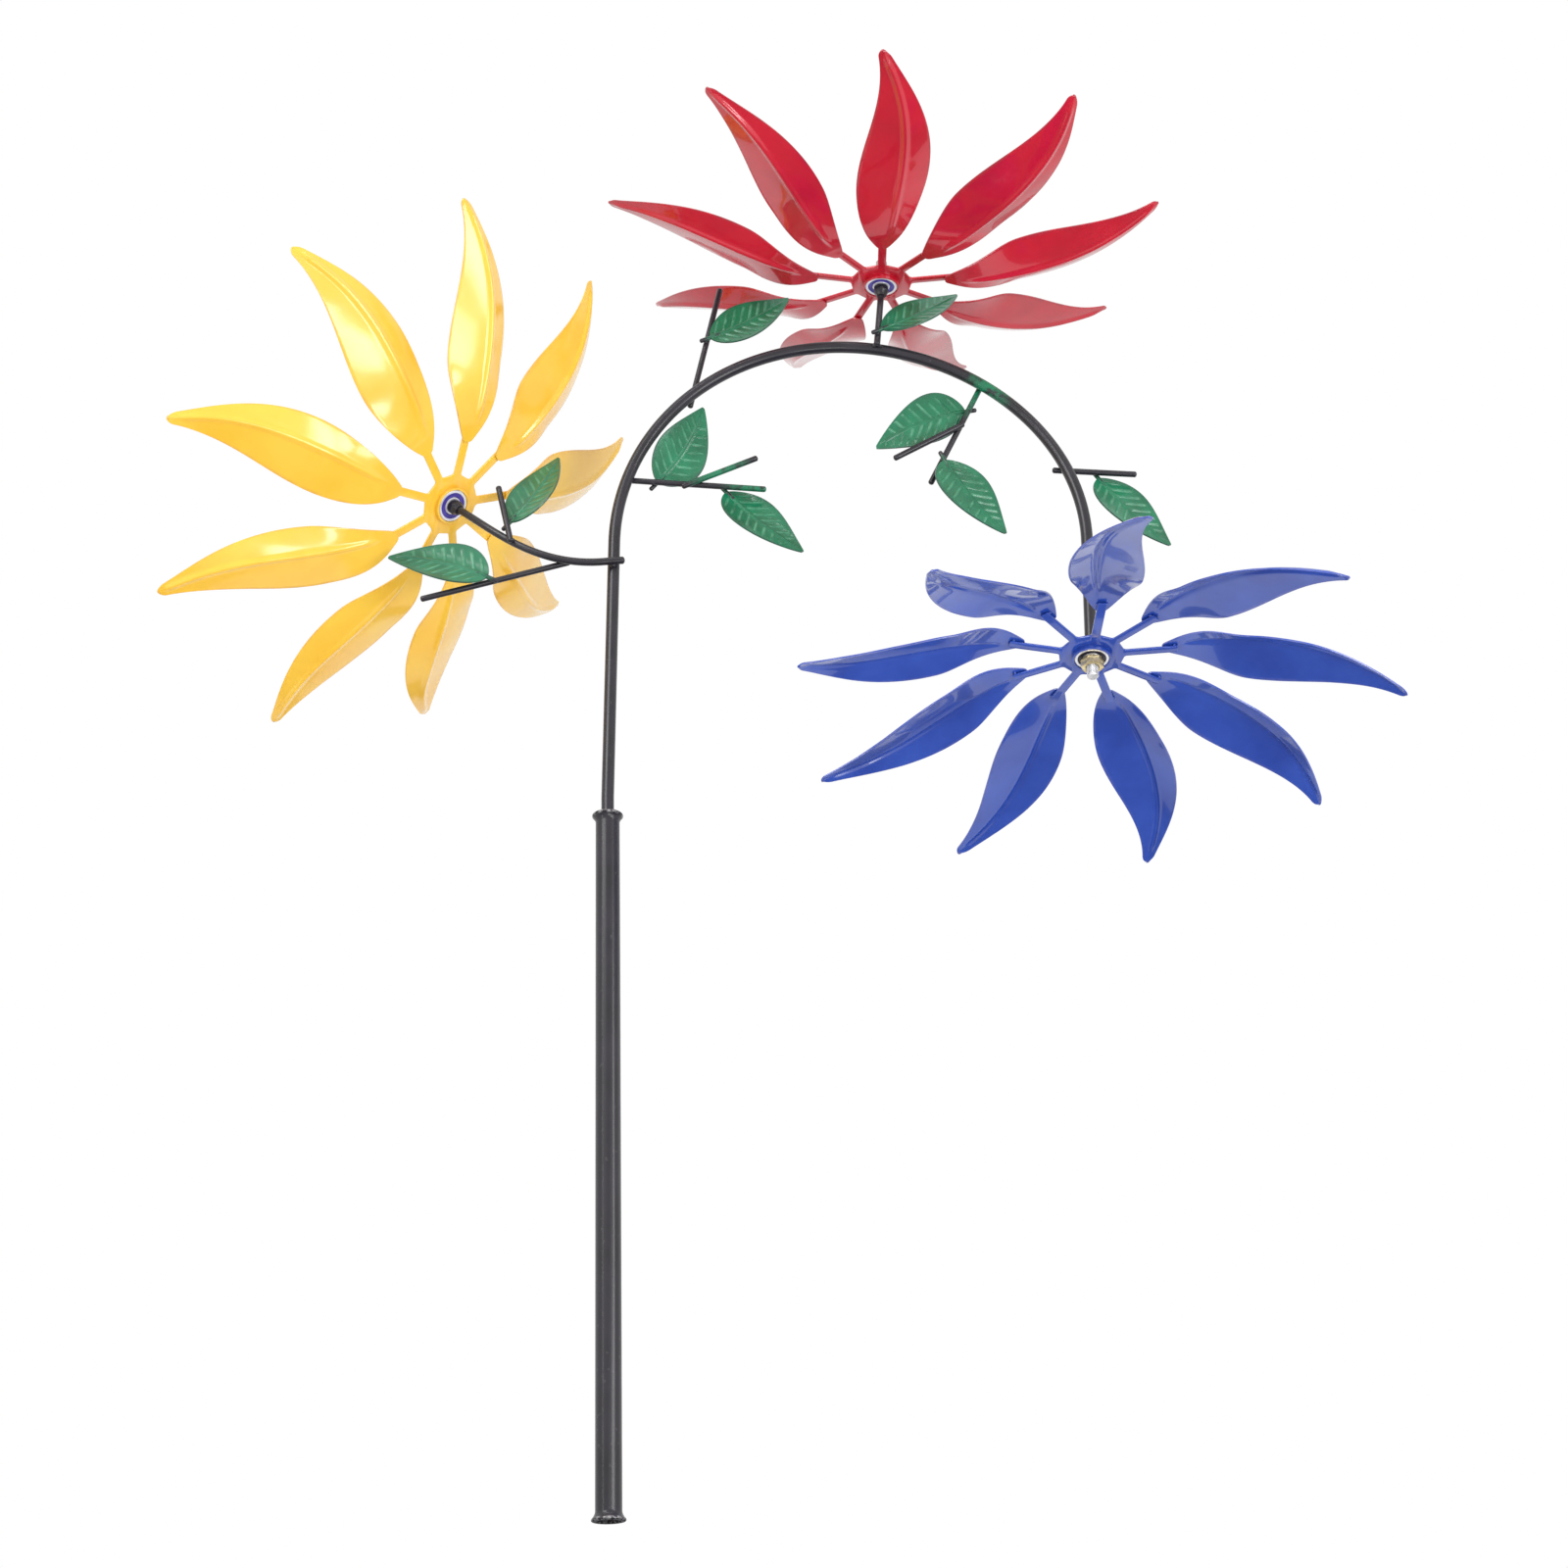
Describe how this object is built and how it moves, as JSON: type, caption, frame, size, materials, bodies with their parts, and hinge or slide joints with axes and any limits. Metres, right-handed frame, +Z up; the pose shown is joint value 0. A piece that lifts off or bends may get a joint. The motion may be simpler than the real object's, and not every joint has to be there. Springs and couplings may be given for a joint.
{
  "type": "wind sculpture",
  "caption": "Garden wind sculpture: a bent steel arch that turns in a pole and carries flower rotors on ball bearings, with welded wire twigs and pressed leaves.",
  "frame": {"origin": "middle of the pole's open lower end, where a ground stake goes in", "axes": "+Z up along the pole, +X towards the arch's far leg, -Y towards the viewer of the picture"},
  "size_m": [0.792, 0.399, 0.8921],
  "materials": {
    "charcoal_paint": "satin",
    "nylon": "matte",
    "leaf_green": "satin",
    "bearing_steel": "polished",
    "zinc_plate": "plated",
    "yellow_paint": "gloss",
    "red_paint": "gloss",
    "blue_paint": "gloss"
  },
  "bodies": {
    "pole": {"lower_pole": "charcoal_paint", "stem_bush": "nylon"},
    "arch": {"arch_stem": "charcoal_paint", "yellow_branch": "charcoal_paint", "red_stalk": "charcoal_paint", "branch_low_twig": "charcoal_paint", "branch_high_twig": "charcoal_paint", "crown_left_twig": "charcoal_paint", "side_left_twig": "charcoal_paint", "crown_right_twig": "charcoal_paint", "side_right_twig": "charcoal_paint", "leaf_branch_low": "leaf_green", "leaf_branch_high": "leaf_green", "leaf_crown_left": "leaf_green", "leaf_side_left_upper": "leaf_green", "leaf_side_left_lower": "leaf_green", "leaf_red_stalk": "leaf_green", "leaf_crown_right_upper": "leaf_green", "leaf_crown_right_lower": "leaf_green", "leaf_side_right": "leaf_green", "yellow_axle_nut": "zinc_plate", "yellow_bearing_inner_ring": "bearing_steel", "red_axle_nut": "zinc_plate", "red_bearing_inner_ring": "bearing_steel", "blue_axle_nut": "zinc_plate", "blue_bearing_inner_ring": "bearing_steel"},
    "yellow_rotor": {"yellow_spider": "yellow_paint", "yellow_bearing_outer_ring": "bearing_steel", "yellow_petal_1": "yellow_paint", "yellow_petal_2": "yellow_paint", "yellow_petal_3": "yellow_paint", "yellow_petal_4": "yellow_paint", "yellow_petal_5": "yellow_paint", "yellow_petal_6": "yellow_paint", "yellow_petal_7": "yellow_paint", "yellow_petal_8": "yellow_paint", "yellow_petal_9": "yellow_paint"},
    "red_rotor": {"red_spider": "red_paint", "red_bearing_outer_ring": "bearing_steel", "red_petal_1": "red_paint", "red_petal_2": "red_paint", "red_petal_3": "red_paint", "red_petal_4": "red_paint", "red_petal_5": "red_paint", "red_petal_6": "red_paint", "red_petal_7": "red_paint", "red_petal_8": "red_paint", "red_petal_9": "red_paint"},
    "blue_rotor": {"blue_spider": "blue_paint", "blue_bearing_outer_ring": "bearing_steel", "blue_petal_1": "blue_paint", "blue_petal_2": "blue_paint", "blue_petal_3": "blue_paint", "blue_petal_4": "blue_paint", "blue_petal_5": "blue_paint", "blue_petal_6": "blue_paint", "blue_petal_7": "blue_paint", "blue_petal_8": "blue_paint", "blue_petal_9": "blue_paint"}
  },
  "joints": [
    {"name": "arch_swivel", "type": "hinge", "parent": "pole", "child": "arch", "pos_m": [0, 0, 0.4274], "axis": [0, 0, 1], "continuous": true},
    {"name": "yellow_spin", "type": "hinge", "parent": "arch", "child": "yellow_rotor", "pos_m": [-0.1067, 0.00688, 0.66711], "axis": [-0.6502, 0.3521, 0.6732], "continuous": true},
    {"name": "red_spin", "type": "hinge", "parent": "arch", "child": "red_rotor", "pos_m": [0.19282, -0.00393, 0.83005], "axis": [0.062, -0.078, 0.995], "continuous": true},
    {"name": "blue_spin", "type": "hinge", "parent": "arch", "child": "blue_rotor", "pos_m": [0.31281, -0.00133, 0.52762], "axis": [-0.056, -0.1179, -0.9914], "continuous": true}
  ]
}
